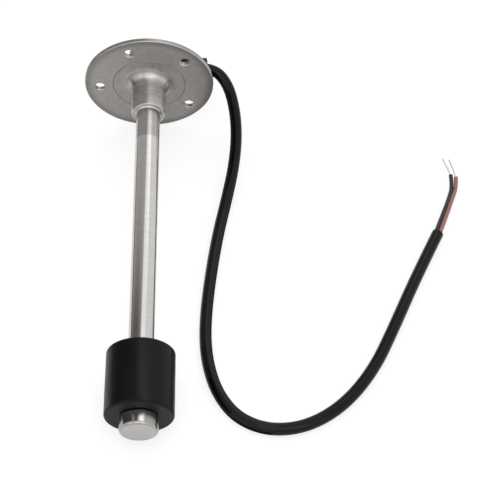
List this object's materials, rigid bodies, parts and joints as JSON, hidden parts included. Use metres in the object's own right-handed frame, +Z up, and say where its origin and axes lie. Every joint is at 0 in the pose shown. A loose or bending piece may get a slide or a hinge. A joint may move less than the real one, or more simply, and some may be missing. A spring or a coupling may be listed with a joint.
{
  "type": "fuel level sender",
  "caption": "Reed switch fuel level sender: stainless bolt-on flange, collar and stem tube, sliding black foam float, turned end cap, side gland and a two-core cable with stripped ends.",
  "frame": {"origin": "middle of the underside of the sender without its cable, on the surface that it lies on", "axes": "+Y along the surface from the float towards the flange, +X across towards the cable, +Z up; the stem leans up 5 degrees towards the flange, because flange and float both touch the surface"},
  "size_m": [0.2039, 0.2326, 0.0699],
  "materials": {
    "flange_steel": "fine turned stainless",
    "collar_steel": "satin stainless",
    "stem_steel": "brushed stainless, bright below the collar",
    "cap_steel": "polished side, satin end",
    "head_steel": "satin stainless",
    "float_foam": "closed-cell foam with a matt skin",
    "magnet": "sintered ferrite",
    "gland_plastic": "fine moulded texture",
    "seal_rubber": "matt",
    "cable_jacket": "semi-matt",
    "core_navy": "smooth insulation",
    "core_brown": "smooth insulation",
    "tinned_copper": "tinned strands",
    "board": "solder resist",
    "switch_glass": "clear green glass",
    "resistor_body": "ceramic chip"
  },
  "bodies": {
    "sender": {"mounting_flange": "flange_steel", "hub_collar": "collar_steel", "stem_tube": "stem_steel", "end_cap": "cap_steel", "head_housing": "head_steel", "gland_body": "gland_plastic", "gland_seal": "seal_rubber", "gland_nut": "gland_plastic", "circuit_board": "board", "board_pad": "seal_rubber", "inner_lead_navy": "core_navy", "inner_lead_brown": "core_brown", "cable_jacket": "cable_jacket", "core_navy": "core_navy", "core_brown": "core_brown", "conductor_navy": "tinned_copper", "conductor_brown": "tinned_copper", "reed_switch_1": "switch_glass", "reed_switch_2": "switch_glass", "reed_switch_3": "switch_glass", "reed_switch_4": "switch_glass", "reed_switch_5": "switch_glass", "reed_switch_6": "switch_glass", "reed_switch_7": "switch_glass", "reed_switch_8": "switch_glass", "resistor_1": "resistor_body", "resistor_2": "resistor_body", "resistor_3": "resistor_body", "resistor_4": "resistor_body", "resistor_5": "resistor_body", "resistor_6": "resistor_body", "resistor_7": "resistor_body", "resistor_8": "resistor_body"},
    "float": {"float_body": "float_foam", "float_magnet": "magnet"}
  },
  "joints": [
    {"name": "float_slide", "type": "slide", "parent": "sender", "child": "float", "axis": [0, 0.9959, 0.0905], "range_m": [0, 0.1463]}
  ]
}
